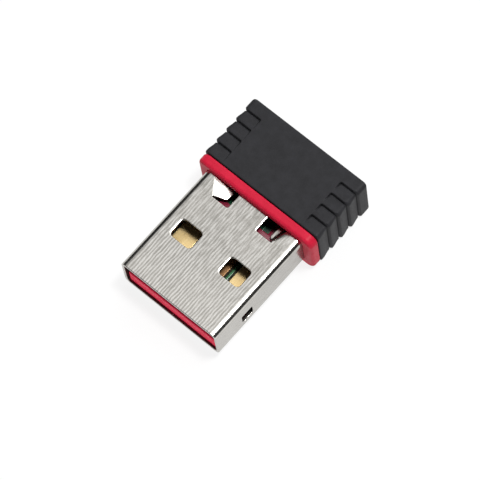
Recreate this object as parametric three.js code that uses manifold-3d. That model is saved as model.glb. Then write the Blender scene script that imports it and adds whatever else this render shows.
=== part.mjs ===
// Nano USB Wi-Fi adapter: a nickel-plated USB-A plug shell around a red
// moulded carrier, a bare circuit board with gold contact pads, and a black
// ribbed end cap.  Millimetres, +Z up.  The plug points along -Y, +X is the
// right-hand side seen from above with the plug towards the viewer.
// Origin: middle of the footprint, on the underside of the cap.

import * as THREE from 'three';
import { mergeVertices } from 'three/addons/utils/BufferGeometryUtils.js';
import Module from 'manifold-3d';

const wasm = await Module();
wasm.setup();

// ---------------------------------------------------------------- driving dimensions
const TOTAL_LENGTH = 20.75;      // mouth of the plug to the back of the cap
const CAP_WIDTH = 14.3;
const CAP_HEIGHT = 6.1;
const PLUG_WIDTH = 12.0;         // USB-A plug shell, outside
const PLUG_HEIGHT = 4.5;
const SHEET = 0.3;               // sheet metal of the shell
const SHELL_BEND = 0.5;          // outside radius of the shell's bends
const PLUG_REACH = 12.42;        // shell showing in front of the collar
const SHELL_LENGTH = 14.9;
const COLLAR_LENGTH = 1.05;
const COLLAR_CORNER = 0.96;
const COLLAR_EDGE = 0.36;        // rounding of the collar's front edge
const CAP_CORNER = 0.45;         // corner radius seen from the plug end
const CAP_PLAN_CORNER = 0.32;    // upright corners at the back
const CAP_EDGE = 0.24;           // back edges, top and bottom
const CAP_SIDE_WALL = 0.75;
const CAP_TOP_WALL = 0.52;
const CAP_BACK_WALL = 0.9;
const WINDOW_X = 3.065;          // retention windows, centre from the middle
const WINDOW_FROM_MOUTH = 6.18;
const WINDOW_WIDTH = 2.53;
const WINDOW_LENGTH = 2.12;
const WINDOW_CORNER = 0.42;
const SLOT_FROM_MOUTH = 4.3;     // small slot low in each side wall
const SLOT_LENGTH = 1.35;
const SLOT_HEIGHT = 1.2;
const SLOT_RISE = 1.98;          // slot's middle above the shell's underside
const CUTOUT_FRONT = 10.62;      // rear cutouts with the bent tabs
const CUTOUT_BACK = 13.1;
const CUTOUT_INNER = 1.8;
const TAB_HINGE = 3.72;
const TAB_TIP_RIGHT = 3.05;
const TAB_DROP_RIGHT = 0.58;
const TAB_TIP_LEFT = 2.44;        // the left tab is longer and lies flatter
const TAB_DROP_LEFT = 0.5;
const SEAM_GAP = 0.1;
const BAR_FRONT = 9.55;          // carrier's bar over the board, from the mouth
const BAR_STEP = 10.35;
const BAR_BACK = 11.36;
const BAR_STEP_HALF = 3.95;
const BAR_STEP_TOP = 4.22;
const TONGUE_RECESS = 0.25;      // carrier's nose behind the mouth
const TONGUE_LEVEL = 2.25;       // tongue's top above the shell's underside
const BOARD_THICKNESS = 0.8;
const BOARD_WIDTH = 9.8;
const BOARD_FRONT = 1.5;         // from the mouth
const BOARD_BACK = 19.3;
const PAD_THICKNESS = 0.05;
const GRIP_FIRST = 1.38;         // first grip pocket from the back of the cap
const GRIP_PITCH = 1.42;
const GRIP_COUNT = 4;
const GRIP_REACH = 2.08;         // pocket's length in from the side
const GRIP_DEPTH = 0.16;

const FIT = 0.06;                // running gap between fitted pieces

// ---------------------------------------------------------------- derived levels
const MOUTH = -TOTAL_LENGTH / 2;
const MID_Z = CAP_HEIGHT / 2;
const SHELL_Z0 = MID_Z - PLUG_HEIGHT / 2;
const SHELL_Z1 = MID_Z + PLUG_HEIGHT / 2;
const SHELL_BACK = MOUTH + SHELL_LENGTH;
const COLLAR_Y0 = MOUTH + PLUG_REACH;
const COLLAR_Y1 = COLLAR_Y0 + COLLAR_LENGTH;
const CAP_BACK = TOTAL_LENGTH / 2;
const TONGUE_Z = SHELL_Z0 + TONGUE_LEVEL;
const BOARD_Z1 = TONGUE_Z - PAD_THICKNESS;
const BOARD_Z0 = BOARD_Z1 - BOARD_THICKNESS;
const INNER_W = PLUG_WIDTH - 2 * SHEET;
const FLOOR_Z0 = SHELL_Z0 + SHEET + 0.05;
const FLOOR_Z1 = FLOOR_Z0 + 0.25;

// ---------------------------------------------------------------- solids
function solid(geometry) {
  const g = geometry.index ? geometry.toNonIndexed() : geometry.clone();
  g.deleteAttribute('normal');
  g.deleteAttribute('uv');
  const m = mergeVertices(g, 1e-5);
  return new wasm.Manifold(new wasm.Mesh({
    numProp: 3,
    vertProperties: new Float32Array(m.attributes.position.array),
    triVerts: new Uint32Array(m.index.array),
  }));
}

function geometryOf(manifold) {
  const mesh = manifold.getMesh();
  const g = new THREE.BufferGeometry();
  g.setAttribute('position', new THREE.BufferAttribute(new Float32Array(mesh.vertProperties), 3));
  g.setIndex(new THREE.BufferAttribute(new Uint32Array(mesh.triVerts), 1));
  g.computeVertexNormals();
  return g;
}

function block(x0, x1, y0, y1, z0, z1) {
  const g = new THREE.BoxGeometry(x1 - x0, y1 - y0, z1 - z0);
  g.translate((x0 + x1) / 2, (y0 + y1) / 2, (z0 + z1) / 2);
  return solid(g);
}

function roundRect(w, h, r) {
  const s = new THREE.Shape();
  s.moveTo(-w / 2 + r, -h / 2);
  s.lineTo(w / 2 - r, -h / 2);
  s.absarc(w / 2 - r, -h / 2 + r, r, -Math.PI / 2, 0, false);
  s.lineTo(w / 2, h / 2 - r);
  s.absarc(w / 2 - r, h / 2 - r, r, 0, Math.PI / 2, false);
  s.lineTo(-w / 2 + r, h / 2);
  s.absarc(-w / 2 + r, h / 2 - r, r, Math.PI / 2, Math.PI, false);
  s.lineTo(-w / 2, -h / 2 + r);
  s.absarc(-w / 2 + r, -h / 2 + r, r, Math.PI, 1.5 * Math.PI, false);
  return s;
}

// extrusion whose section lies in XZ, running from y0 to y1
function alongY(shape, y0, y1, zMid, curveSegments = 5, bevel = null) {
  const opts = { depth: y1 - y0, bevelEnabled: false, curveSegments };
  if (bevel) Object.assign(opts, { depth: y1 - y0 - 2 * bevel.t, bevelEnabled: true,
    bevelThickness: bevel.t, bevelSize: bevel.s, bevelOffset: -bevel.s, bevelSegments: bevel.n });
  const g = new THREE.ExtrudeGeometry(shape, opts);
  g.rotateX(Math.PI / 2);                       // section's up becomes +Z, depth becomes -Y
  g.translate(0, y1 - (bevel ? bevel.t : 0), zMid);
  return solid(g);
}

// extrusion whose section lies in XY, running from z0 to z1
function alongZ(points, z0, z1) {
  const s = Array.isArray(points) ? new THREE.Shape(points.map(([x, y]) => new THREE.Vector2(x, y))) : points;
  const g = new THREE.ExtrudeGeometry(s, { depth: z1 - z0, bevelEnabled: false, curveSegments: 5 });
  g.translate(0, 0, z0);
  return solid(g);
}

// extrusion whose section lies in YZ, running from x0 to x1
function alongX(points, x0, x1) {
  const s = Array.isArray(points) ? new THREE.Shape(points.map(([y, z]) => new THREE.Vector2(y, z))) : points;
  const g = new THREE.ExtrudeGeometry(s, { depth: x1 - x0, bevelEnabled: false, curveSegments: 5 });
  g.rotateZ(Math.PI / 2);
  g.rotateY(Math.PI / 2);                       // section's x becomes +Y, its y becomes +Z
  g.translate(x0, 0, 0);
  return solid(g);
}

const part = new THREE.Group();
function place(name, manifold, colour, roughness, metalness = 0) {
  const mesh = new THREE.Mesh(geometryOf(manifold),
    new THREE.MeshStandardMaterial({ color: colour, roughness, metalness }));
  mesh.name = name;
  part.add(mesh);
}

// ---------------------------------------------------------------- plug shell
{
  let s = alongY(roundRect(PLUG_WIDTH, PLUG_HEIGHT, SHELL_BEND), MOUTH, SHELL_BACK, MID_Z);
  s = s.subtract(alongY(roundRect(INNER_W, PLUG_HEIGHT - 2 * SHEET, SHELL_BEND - SHEET),
    MOUTH - 1, SHELL_BACK + 1, MID_Z, 3));
  // four retention windows, two above and two below
  for (const side of [-1, 1]) {
    const w = roundRect(WINDOW_WIDTH, WINDOW_LENGTH, WINDOW_CORNER);
    const cut = alongZ(w, SHELL_Z0 - 1, SHELL_Z1 + 1)
      .translate([side * WINDOW_X, MOUTH + WINDOW_FROM_MOUTH, 0]);
    s = s.subtract(cut);
  }
  // one small slot in each side wall
  const slotZ = SHELL_Z0 + SLOT_RISE;
  const slotY = MOUTH + SLOT_FROM_MOUTH;
  s = s.subtract(block(-PLUG_WIDTH, PLUG_WIDTH, slotY - SLOT_LENGTH / 2, slotY + SLOT_LENGTH / 2,
    slotZ - SLOT_HEIGHT / 2, slotZ + SLOT_HEIGHT / 2));
  // two cutouts at the back of the top, each leaving a tab bent down inside
  for (const side of [-1, 1]) {
    const x0 = Math.min(side * CUTOUT_INNER, side * TAB_HINGE);
    const x1 = Math.max(side * CUTOUT_INNER, side * TAB_HINGE);
    s = s.subtract(block(x0, x1, MOUTH + CUTOUT_FRONT, MOUTH + CUTOUT_BACK,
      SHELL_Z1 - SHEET - 0.1, SHELL_Z1 + 1));
  }
  const z = SHELL_Z1;
  for (const [side, tip, drop] of [[1, TAB_TIP_RIGHT, TAB_DROP_RIGHT], [-1, TAB_TIP_LEFT, TAB_DROP_LEFT]]) {
    const run = TAB_HINGE - tip, slope = Math.hypot(run, drop);
    const outline = new THREE.Shape([
      [TAB_HINGE + 0.22, z], [TAB_HINGE, z], [tip, z - drop],
      [tip + SHEET * drop / slope, z - drop - SHEET * run / slope],
      [TAB_HINGE + 0.12, z - SHEET - 0.06], [TAB_HINGE + 0.22, z - SHEET + 0.04],
    ].map(([p, q]) => new THREE.Vector2(p, q)));
    const tab = alongY(outline, MOUTH + CUTOUT_FRONT + 0.12, MOUTH + CUTOUT_BACK - 0.12, 0)
      .subtract(alongZ([                          // the tab narrows towards its tip
        [TAB_HINGE - 0.02, MOUTH + CUTOUT_FRONT - 0.1],
        [TAB_HINGE - 0.02, MOUTH + CUTOUT_FRONT + 0.14],
        [tip - 0.2, MOUTH + CUTOUT_FRONT + 0.72],
        [tip - 0.2, MOUTH + CUTOUT_FRONT - 0.1],
      ], SHELL_Z1 - 2, SHELL_Z1 + 1));
    s = s.add(side > 0 ? tab : tab.mirror([1, 0, 0]));
  }
  // the sheet's joint along the underside
  s = s.subtract(block(-SEAM_GAP / 2, SEAM_GAP / 2, MOUTH - 1, SHELL_BACK + 1, SHELL_Z0 - 1, SHELL_Z0 + SHEET + 0.1));
  place('usb_shell', s, '#c9c6c0', 0.28, 1.0);
}

// ---------------------------------------------------------------- red carrier
{
  const half = INNER_W / 2 - 0.1;
  const railIn = BOARD_WIDTH / 2 + FIT;
  const backWall0 = SHELL_BACK + FIT;
  const backWall1 = backWall0 + 0.7;
  // nose across the mouth, floor, side rails with ledges under the board
  let c = block(-half, half, MOUTH + TONGUE_RECESS, MOUTH + BOARD_FRONT - FIT, FLOOR_Z0, TONGUE_Z);
  c = c.add(block(-half, half, MOUTH + 1, backWall1, FLOOR_Z0, FLOOR_Z1));
  for (const side of [-1, 1]) {
    const rail = side > 0 ? [railIn, half] : [-half, -railIn];
    const ledge = side > 0 ? [railIn - 0.42, half - 0.1] : [-half + 0.1, -railIn + 0.42];
    c = c.add(block(...rail, MOUTH + 1, backWall1, FLOOR_Z0, TONGUE_Z));
    c = c.add(block(...ledge, MOUTH + 1, backWall1, FLOOR_Z0, BOARD_Z0));
    // relief behind the slot in the shell's wall
    const relief = side > 0 ? [railIn - 0.01, half + 0.1] : [-half - 0.1, -railIn + 0.01];
    c = c.subtract(block(...relief, MOUTH + SLOT_FROM_MOUTH - 0.9, MOUTH + SLOT_FROM_MOUTH + 0.9, BOARD_Z0 - 0.35, TONGUE_Z + 1));
  }
  // bar over the board, stepped down under the shell's tabs
  const barTop = SHELL_Z1 - SHEET - 0.05;
  c = c.add(block(-half, half, MOUTH + BAR_FRONT, MOUTH + BAR_STEP, BOARD_Z1 + FIT, barTop));
  c = c.add(block(-BAR_STEP_HALF, BAR_STEP_HALF, MOUTH + BAR_STEP - 0.1, MOUTH + BAR_BACK, BOARD_Z1 + FIT, BAR_STEP_TOP));
  for (const side of [-1, 1]) {
    const rail = side > 0 ? [railIn, half] : [-half, -railIn];
    c = c.add(block(...rail, MOUTH + BAR_FRONT, MOUTH + BAR_STEP, TONGUE_Z - 0.2, barTop));
  }
  // collar outside the shell
  const open = roundRect(PLUG_WIDTH + 2 * FIT, PLUG_HEIGHT + 2 * FIT, SHELL_BEND + FIT);
  let collar = alongY(roundRect(CAP_WIDTH, CAP_HEIGHT, COLLAR_CORNER), COLLAR_Y0, COLLAR_Y1 + 2, MID_Z, 5,
    { t: 0.4, s: COLLAR_EDGE, n: 3 });
  collar = collar.subtract(block(-20, 20, COLLAR_Y1, COLLAR_Y1 + 4, -5, 20));
  collar = collar.subtract(alongY(open, COLLAR_Y0 - 1, COLLAR_Y1 + 1, MID_Z, 4));
  c = c.add(collar);
  // spigot cheeks inside the cap and the wall behind the shell that join it to the tray
  const spigotW = CAP_WIDTH / 2 - CAP_SIDE_WALL - FIT;
  const spigotH = CAP_HEIGHT / 2 - CAP_TOP_WALL - FIT;
  for (const side of [-1, 1]) {
    const cheek = side > 0 ? [PLUG_WIDTH / 2 + FIT, spigotW] : [-spigotW, -PLUG_WIDTH / 2 - FIT];
    c = c.add(block(...cheek, COLLAR_Y1 - 0.4, backWall1, MID_Z - 1.7, MID_Z + 1.7));
  }
  let wall = alongY(roundRect(2 * spigotW, 2 * spigotH, 0.4), backWall0, backWall1, MID_Z, 4);
  c = c.add(wall);
  // way through for the board and the parts on it
  c = c.subtract(block(-BOARD_WIDTH / 2 - FIT, BOARD_WIDTH / 2 + FIT, backWall0 - 0.2, backWall1 + 1, BOARD_Z0, BOARD_Z1 + 1.35));
  place('insulator_carrier', c, '#c8233f', 0.42);
}

// ---------------------------------------------------------------- end cap
{
  let cap = alongY(roundRect(CAP_WIDTH, CAP_HEIGHT, CAP_CORNER), COLLAR_Y1, CAP_BACK, MID_Z, 5);
  // upright back corners
  const w = CAP_WIDTH / 2, r = CAP_PLAN_CORNER;
  const plan = new THREE.Shape();
  plan.moveTo(-w, COLLAR_Y1 - 1); plan.lineTo(w, COLLAR_Y1 - 1); plan.lineTo(w, CAP_BACK - r);
  plan.absarc(w - r, CAP_BACK - r, r, 0, Math.PI / 2, false);
  plan.lineTo(-w + r, CAP_BACK);
  plan.absarc(-w + r, CAP_BACK - r, r, Math.PI / 2, Math.PI, false);
  cap = cap.intersect(alongZ(plan, -1, CAP_HEIGHT + 1));
  // back edges above and below
  const e = CAP_EDGE, prof = new THREE.Shape();
  prof.moveTo(COLLAR_Y1 - 1, 0); prof.lineTo(CAP_BACK - e, 0);
  prof.absarc(CAP_BACK - e, e, e, -Math.PI / 2, 0, false);
  prof.lineTo(CAP_BACK, CAP_HEIGHT - e);
  prof.absarc(CAP_BACK - e, CAP_HEIGHT - e, e, 0, Math.PI / 2, false);
  prof.lineTo(COLLAR_Y1 - 1, CAP_HEIGHT);
  cap = cap.intersect(alongX(prof, -w - 1, w + 1));
  // cavity
  const cav = roundRect(CAP_WIDTH - 2 * CAP_SIDE_WALL, CAP_HEIGHT - 2 * CAP_TOP_WALL, 0.45);
  cap = cap.subtract(alongY(cav, COLLAR_Y1 - 1, CAP_BACK - CAP_BACK_WALL, MID_Z, 4));
  // grip pockets: a sharp step at the back of each, rising again to the front
  for (let i = 0; i < GRIP_COUNT; i++) {
    const y = CAP_BACK - GRIP_FIRST - i * GRIP_PITCH;
    for (const side of [-1, 1]) {
      const xs = side * w;
      cap = cap.subtract(alongZ(side > 0
        ? [[xs + 1, y + 0.06], [xs, y + 0.06], [xs - GRIP_DEPTH, y - 0.14], [xs, y - 1.08], [xs + 1, y - 1.08]]
        : [[xs - 1, y + 0.06], [xs - 1, y - 1.08], [xs, y - 1.08], [xs + GRIP_DEPTH, y - 0.14], [xs, y + 0.06]],
      -1, CAP_HEIGHT + 1));
      const x0 = side > 0 ? w - GRIP_REACH : -w - 1;
      const x1 = side > 0 ? w + 1 : -w + GRIP_REACH;
      cap = cap.subtract(alongX([[y + 0.06, CAP_HEIGHT + 1], [y + 0.06, CAP_HEIGHT], [y - 0.12, CAP_HEIGHT - GRIP_DEPTH],
        [y - 1.08, CAP_HEIGHT], [y - 1.08, CAP_HEIGHT + 1]], x0, x1));
      cap = cap.subtract(alongX([[y + 0.06, -1], [y - 1.08, -1], [y - 1.08, 0], [y - 0.12, GRIP_DEPTH], [y + 0.06, 0]], x0, x1));
    }
  }
  place('end_cap', cap, '#2b2b2d', 0.62);
}

// ---------------------------------------------------------------- circuit board
const BW = BOARD_WIDTH / 2;
place('circuit_board', block(-BW, BW, MOUTH + BOARD_FRONT, MOUTH + BOARD_BACK, BOARD_Z0, BOARD_Z1), '#1f5a3a', 0.5);

// contact pads: the outer pair starts nearer the mouth than the inner pair
const PADS = [
  ['contact_vbus', 3.66, 2.26, 1.8], ['contact_data_minus', 1.08, 1.4, 2.8],
  ['contact_data_plus', -1.08, 1.4, 2.8], ['contact_ground', -3.66, 2.26, 1.8],
];
for (const [name, x, width, start] of PADS) {
  place(name, block(x - width / 2, x + width / 2, MOUTH + start, MOUTH + 9.3, BOARD_Z1, TONGUE_Z), '#d9b25f', 0.25, 1.0);
}

// printed antenna at the tail of the board
{
  const y0 = MOUTH + 16.6, t = 0.4, top = BOARD_Z1 + PAD_THICKNESS;
  let a = block(-4.2, -4.2 + t, y0 - 0.9, y0 + 2.3, BOARD_Z1, top);
  const xs = [-4.2, -3.0, -1.8, -0.6, 0.6, 1.8, 3.0];
  xs.forEach((x, i) => {
    const yEnd = i % 2 === 0 ? y0 + 2.3 : y0 + 0.2;
    a = a.add(block(x, x + 1.2 + t, yEnd - (i % 2 === 0 ? t : 0), yEnd + (i % 2 === 0 ? 0 : t), BOARD_Z1, top));
    a = a.add(block(x + 1.2, x + 1.2 + t, y0 + 0.2, y0 + 2.3, BOARD_Z1, top));
  });
  place('antenna_trace', a, '#c98f4e', 0.35, 1.0);
}

// chip packages and small parts: name, x, y from the mouth, size x, y, z, side of the board, colour, roughness, metalness
const PARTS = [
  ['wifi_chip', 0, 6.3, 5.6, 5.6, 0.62, -1, '#1b1b1d', 0.5, 0],
  ['crystal_can', -2.6, 14.2, 2.5, 2.0, 0.6, 1, '#c4c2bc', 0.3, 1],
  ['power_inductor', 2.7, 14.3, 2.0, 1.6, 0.95, 1, '#4a4a4c', 0.6, 0],
  ['input_capacitor', 3.3, 11.9, 1.6, 0.8, 0.55, -1, '#b9a489', 0.5, 0],
  ['output_capacitor', 0.3, 14.2, 0.8, 1.6, 0.55, 1, '#b9a489', 0.5, 0],
  ['core_capacitor', -3.3, 11.9, 1.0, 0.5, 0.5, -1, '#b9a489', 0.5, 0],
  ['crystal_capacitor_left', -3.5, 12.5, 0.5, 1.0, 0.5, 1, '#b9a489', 0.5, 0],
  ['crystal_capacitor_right', -1.6, 12.5, 0.5, 1.0, 0.5, 1, '#b9a489', 0.5, 0],
  ['antenna_match_capacitor', -3.2, 16.1, 0.5, 1.0, 0.5, 1, '#b9a489', 0.5, 0],
  ['antenna_match_inductor', -2.2, 16.1, 0.5, 1.0, 0.5, 1, '#8f9aa0', 0.5, 0],
  ['data_resistor_left', -0.9, 11.95, 0.5, 1.0, 0.35, 1, '#222224', 0.5, 0],
  ['data_resistor_right', 0.9, 11.95, 0.5, 1.0, 0.35, 1, '#222224', 0.5, 0],
  ['bias_resistor', 0, 11.9, 1.0, 0.5, 0.35, -1, '#222224', 0.5, 0],
];
for (const [name, x, y, sx, sy, sz, up, colour, rough, metal] of PARTS) {
  const z0 = up > 0 ? BOARD_Z1 : BOARD_Z0 - sz;
  place(name, block(x - sx / 2, x + sx / 2, MOUTH + y - sy / 2, MOUTH + y + sy / 2, z0, z0 + sz), colour, rough, metal);
}

export default part;
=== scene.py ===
import math

import bmesh
import bpy
import numpy as np
from mathutils import Matrix, Vector
from mathutils.geometry import delaunay_2d_cdt


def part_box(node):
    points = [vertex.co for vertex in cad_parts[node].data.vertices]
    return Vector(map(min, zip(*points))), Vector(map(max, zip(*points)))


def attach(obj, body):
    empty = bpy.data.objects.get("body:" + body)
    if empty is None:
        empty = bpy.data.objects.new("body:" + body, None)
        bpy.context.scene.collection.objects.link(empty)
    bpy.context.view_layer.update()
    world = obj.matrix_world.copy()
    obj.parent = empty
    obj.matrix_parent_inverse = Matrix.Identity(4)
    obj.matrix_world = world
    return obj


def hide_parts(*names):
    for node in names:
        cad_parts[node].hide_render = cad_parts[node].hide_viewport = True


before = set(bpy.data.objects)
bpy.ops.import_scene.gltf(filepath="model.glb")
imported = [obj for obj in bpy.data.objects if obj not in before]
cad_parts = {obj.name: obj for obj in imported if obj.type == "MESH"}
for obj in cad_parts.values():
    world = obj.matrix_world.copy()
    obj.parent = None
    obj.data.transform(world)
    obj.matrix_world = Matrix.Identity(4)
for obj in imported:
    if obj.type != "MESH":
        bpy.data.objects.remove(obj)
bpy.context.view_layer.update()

scene = bpy.context.scene
scene.view_settings.view_transform = "Standard"
scene.view_settings.look = "None"
scene.view_settings.exposure = 0.0
scene.view_settings.gamma = 1.0

MM = 0.001

# ------------------------------------------------------------------ camera
AZ, EL, ROLL = 52.087, 68.298, -11.805
SCALE = 10.473                      # picture points per millimetre at the target
FOCAL_PX, PICTURE = 3602.0, 480.0
DISTANCE = 343.91
TARGET = Vector((0.0, -1.375, 3.05))
TARGET_AT = (232.204, 240.163)


def make_camera():
    a, e, roll = math.radians(AZ), math.radians(EL), math.radians(ROLL)
    back = Vector((math.sin(a) * math.cos(e), -math.cos(a) * math.cos(e), math.sin(e)))
    r = Vector((math.cos(a), math.sin(a), 0.0))
    u = back.cross(r)
    r2 = math.cos(roll) * r + math.sin(roll) * u
    u2 = math.cos(roll) * u - math.sin(roll) * r
    mid = PICTURE / 2
    where = TARGET + back * DISTANCE - r2 * ((TARGET_AT[0] - mid) / SCALE) + u2 * ((TARGET_AT[1] - mid) / SCALE)
    cam = bpy.data.objects.new("camera", bpy.data.cameras.new("camera"))
    scene.collection.objects.link(cam)
    cam.data.sensor_width = 36.0
    cam.data.lens = FOCAL_PX * 36.0 / PICTURE
    cam.data.clip_start, cam.data.clip_end = 0.01, 10.0
    m = Matrix((
        (r2.x, u2.x, back.x, where.x * MM),
        (r2.y, u2.y, back.y, where.y * MM),
        (r2.z, u2.z, back.z, where.z * MM),
        (0, 0, 0, 1)))
    cam.matrix_world = m
    scene.camera = cam


make_camera()

# ------------------------------------------------------------------ driving sizes, millimetres
MOUTH, MID = -10.375, 3.05
SHELL_Z0, SHELL_Z1 = 0.8, 5.3
PLUG_HW, PLUG_HH, BEND, SHEET = 6.0, 2.25, 0.5, 0.3
SHELL_LENGTH = 14.9
COLLAR_Y0, COLLAR_Y1 = 2.045, 3.095
CAP_HW, CAP_HH, CAP_Y1 = 7.15, 3.05, 10.375
COLLAR_CORNER, CAP_CORNER = 0.96, 0.45
TONGUE_Z = 3.05


def smooth(t):
    t = min(1.0, max(0.0, t))
    return t * t * (3 - 2 * t)


# ------------------------------------------------------------------ mesh helpers
def finish_mesh(name, bm, materials, sharp=35.0):
    """A mesh object in metres from a bmesh in millimetres."""
    bmesh.ops.recalc_face_normals(bm, faces=bm.faces)
    me = bpy.data.meshes.new(name)
    bm.to_mesh(me)
    bm.free()
    me.transform(Matrix.Scale(MM, 4))
    for p in me.polygons:
        p.use_smooth = True
    me.set_sharp_from_angle(angle=math.radians(sharp))
    for m in materials:
        me.materials.append(m)
    o = bpy.data.objects.new(name, me)
    scene.collection.objects.link(o)
    return o


def add_mesh(bm, verts, faces, mat=0):
    vs = [bm.verts.new(v) for v in verts]
    for f in faces:
        try:
            face = bm.faces.new([vs[i] for i in f])
            face.material_index = mat
        except ValueError:
            pass
    return vs


def add_box(bm, x0, x1, y0, y1, z0, z1, bevel=0.05, segments=2, mat=0):
    """A block with rounded edges."""
    part = bmesh.new()
    bmesh.ops.create_cube(part, size=1.0)
    for v in part.verts:
        v.co = Vector(((x0 + x1) / 2 + v.co.x * (x1 - x0), (y0 + y1) / 2 + v.co.y * (y1 - y0),
                       (z0 + z1) / 2 + v.co.z * (z1 - z0)))
    if bevel > 0:
        bmesh.ops.bevel(part, geom=list(part.edges), offset=bevel, offset_type="OFFSET",
                        segments=segments, profile=0.5, affect="EDGES", clamp_overlap=True)
    bmesh.ops.recalc_face_normals(part, faces=part.faces)
    merge(bm, part, mat)


def merge(bm, part, mat=0):
    index = {}
    for v in part.verts:
        index[v] = bm.verts.new(v.co)
    for f in part.faces:
        face = bm.faces.new([index[v] for v in f.verts])
        face.material_index = mat
    part.free()


def ring(hw, hh, r, fx, fz, nc):
    """Points round a rounded rectangle in XZ, with their outward directions."""
    ax, az = hw - r, hh - r
    pts, nrm = [], []

    def corner(cx, cz, a0):
        for k in range(1, nc):
            a = a0 - math.pi / 2 * k / nc
            pts.append((cx + r * math.cos(a), cz + r * math.sin(a)))
            nrm.append((math.cos(a), math.sin(a)))

    for f in fx:
        pts.append((f * ax, hh)); nrm.append((0.0, 1.0))
    corner(ax, az, math.pi / 2)
    for f in reversed(fz):
        pts.append((hw, f * az)); nrm.append((1.0, 0.0))
    corner(ax, -az, 0.0)
    for f in reversed(fx):
        pts.append((f * ax, -hh)); nrm.append((0.0, -1.0))
    corner(-ax, -az, -math.pi / 2)
    for f in fz:
        pts.append((-hw, f * az)); nrm.append((-1.0, 0.0))
    corner(-ax, az, math.pi)
    return pts, nrm


def add_loft(bm, sections, closed=False, cap_start=False, cap_end=False, mat=0):
    """Rings of equal point count, each a list of (x, y, z), joined in order."""
    rows = [[bm.verts.new(p) for p in s] for s in sections]
    n = len(rows[0])
    pairs = list(zip(rows, rows[1:])) + ([(rows[-1], rows[0])] if closed else [])
    for a, b in pairs:
        for i in range(n):
            j = (i + 1) % n
            f = bm.faces.new((a[i], a[j], b[j], b[i]))
            f.material_index = mat
    if cap_start:
        bm.faces.new(rows[0]).material_index = mat
    if cap_end:
        bm.faces.new(list(reversed(rows[-1]))).material_index = mat


def rounded_loop(points, radii, step=0.25, seg=6):
    """A closed 2-D loop with each corner rounded, its straight runs divided so that it can bend."""
    n = len(points)
    out = []
    for i in range(n):
        p = np.array(points[i], float)
        a = np.array(points[i - 1], float) - p
        b = np.array(points[(i + 1) % n], float) - p
        la, lb = np.linalg.norm(a), np.linalg.norm(b)
        a, b = a / la, b / lb
        r = radii[i] if hasattr(radii, "__len__") else radii
        cosang = float(np.clip(a @ b, -1, 1))
        half = math.acos(cosang) / 2
        t = min(r / math.tan(half), 0.48 * la, 0.48 * lb)
        r = t * math.tan(half)
        bis = (a + b) / np.linalg.norm(a + b)
        centre = p + bis * (r / math.sin(half))
        s, e = p + a * t - centre, p + b * t - centre
        a0 = math.atan2(s[1], s[0])
        turn = math.atan2(s[0] * e[1] - s[1] * e[0], float(s @ e))
        for k in range(seg + 1):
            ang = a0 + turn * k / seg
            out.append(centre + r * np.array((math.cos(ang), math.sin(ang))))
    dense = []
    m = len(out)
    for i in range(m):
        p, q = out[i], out[(i + 1) % m]
        cuts = max(1, int(math.ceil(np.linalg.norm(q - p) / step)))
        for k in range(cuts):
            dense.append(p + (q - p) * k / cuts)
    return np.array(dense)


def area2(loop):
    x, y = loop[:, 0], loop[:, 1]
    return float(np.sum(x * np.roll(y, -1) - np.roll(x, -1) * y)) / 2


def inward(loop, material_inside):
    """Unit directions at each vertex that point into the material."""
    nxt, prv = np.roll(loop, -1, 0), np.roll(loop, 1, 0)
    e1 = loop - prv
    e2 = nxt - loop
    e1 /= np.linalg.norm(e1, axis=1)[:, None]
    e2 /= np.linalg.norm(e2, axis=1)[:, None]
    left = np.stack([-(e1[:, 1] + e2[:, 1]), e1[:, 0] + e2[:, 0]], 1)
    left /= np.linalg.norm(left, axis=1)[:, None]
    miter = 1 / np.maximum(0.5, np.sum(left * np.stack([-e1[:, 1], e1[:, 0]], 1), 1))
    sign = 1.0 if (area2(loop) > 0) == material_inside else -1.0
    return left * miter[:, None] * sign


def inside(points, loop):
    x, y = points[:, 0], points[:, 1]
    x0, y0 = loop[:, 0], loop[:, 1]
    x1, y1 = np.roll(x0, -1), np.roll(y0, -1)
    c = np.zeros(len(points), bool)
    for a, b, d, e in zip(x0, y0, x1, y1):
        if b == e:
            continue
        hit = ((b > y) != (e > y)) & (x < (d - a) * (y - b) / (e - b) + a)
        c ^= hit
    return c


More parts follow.
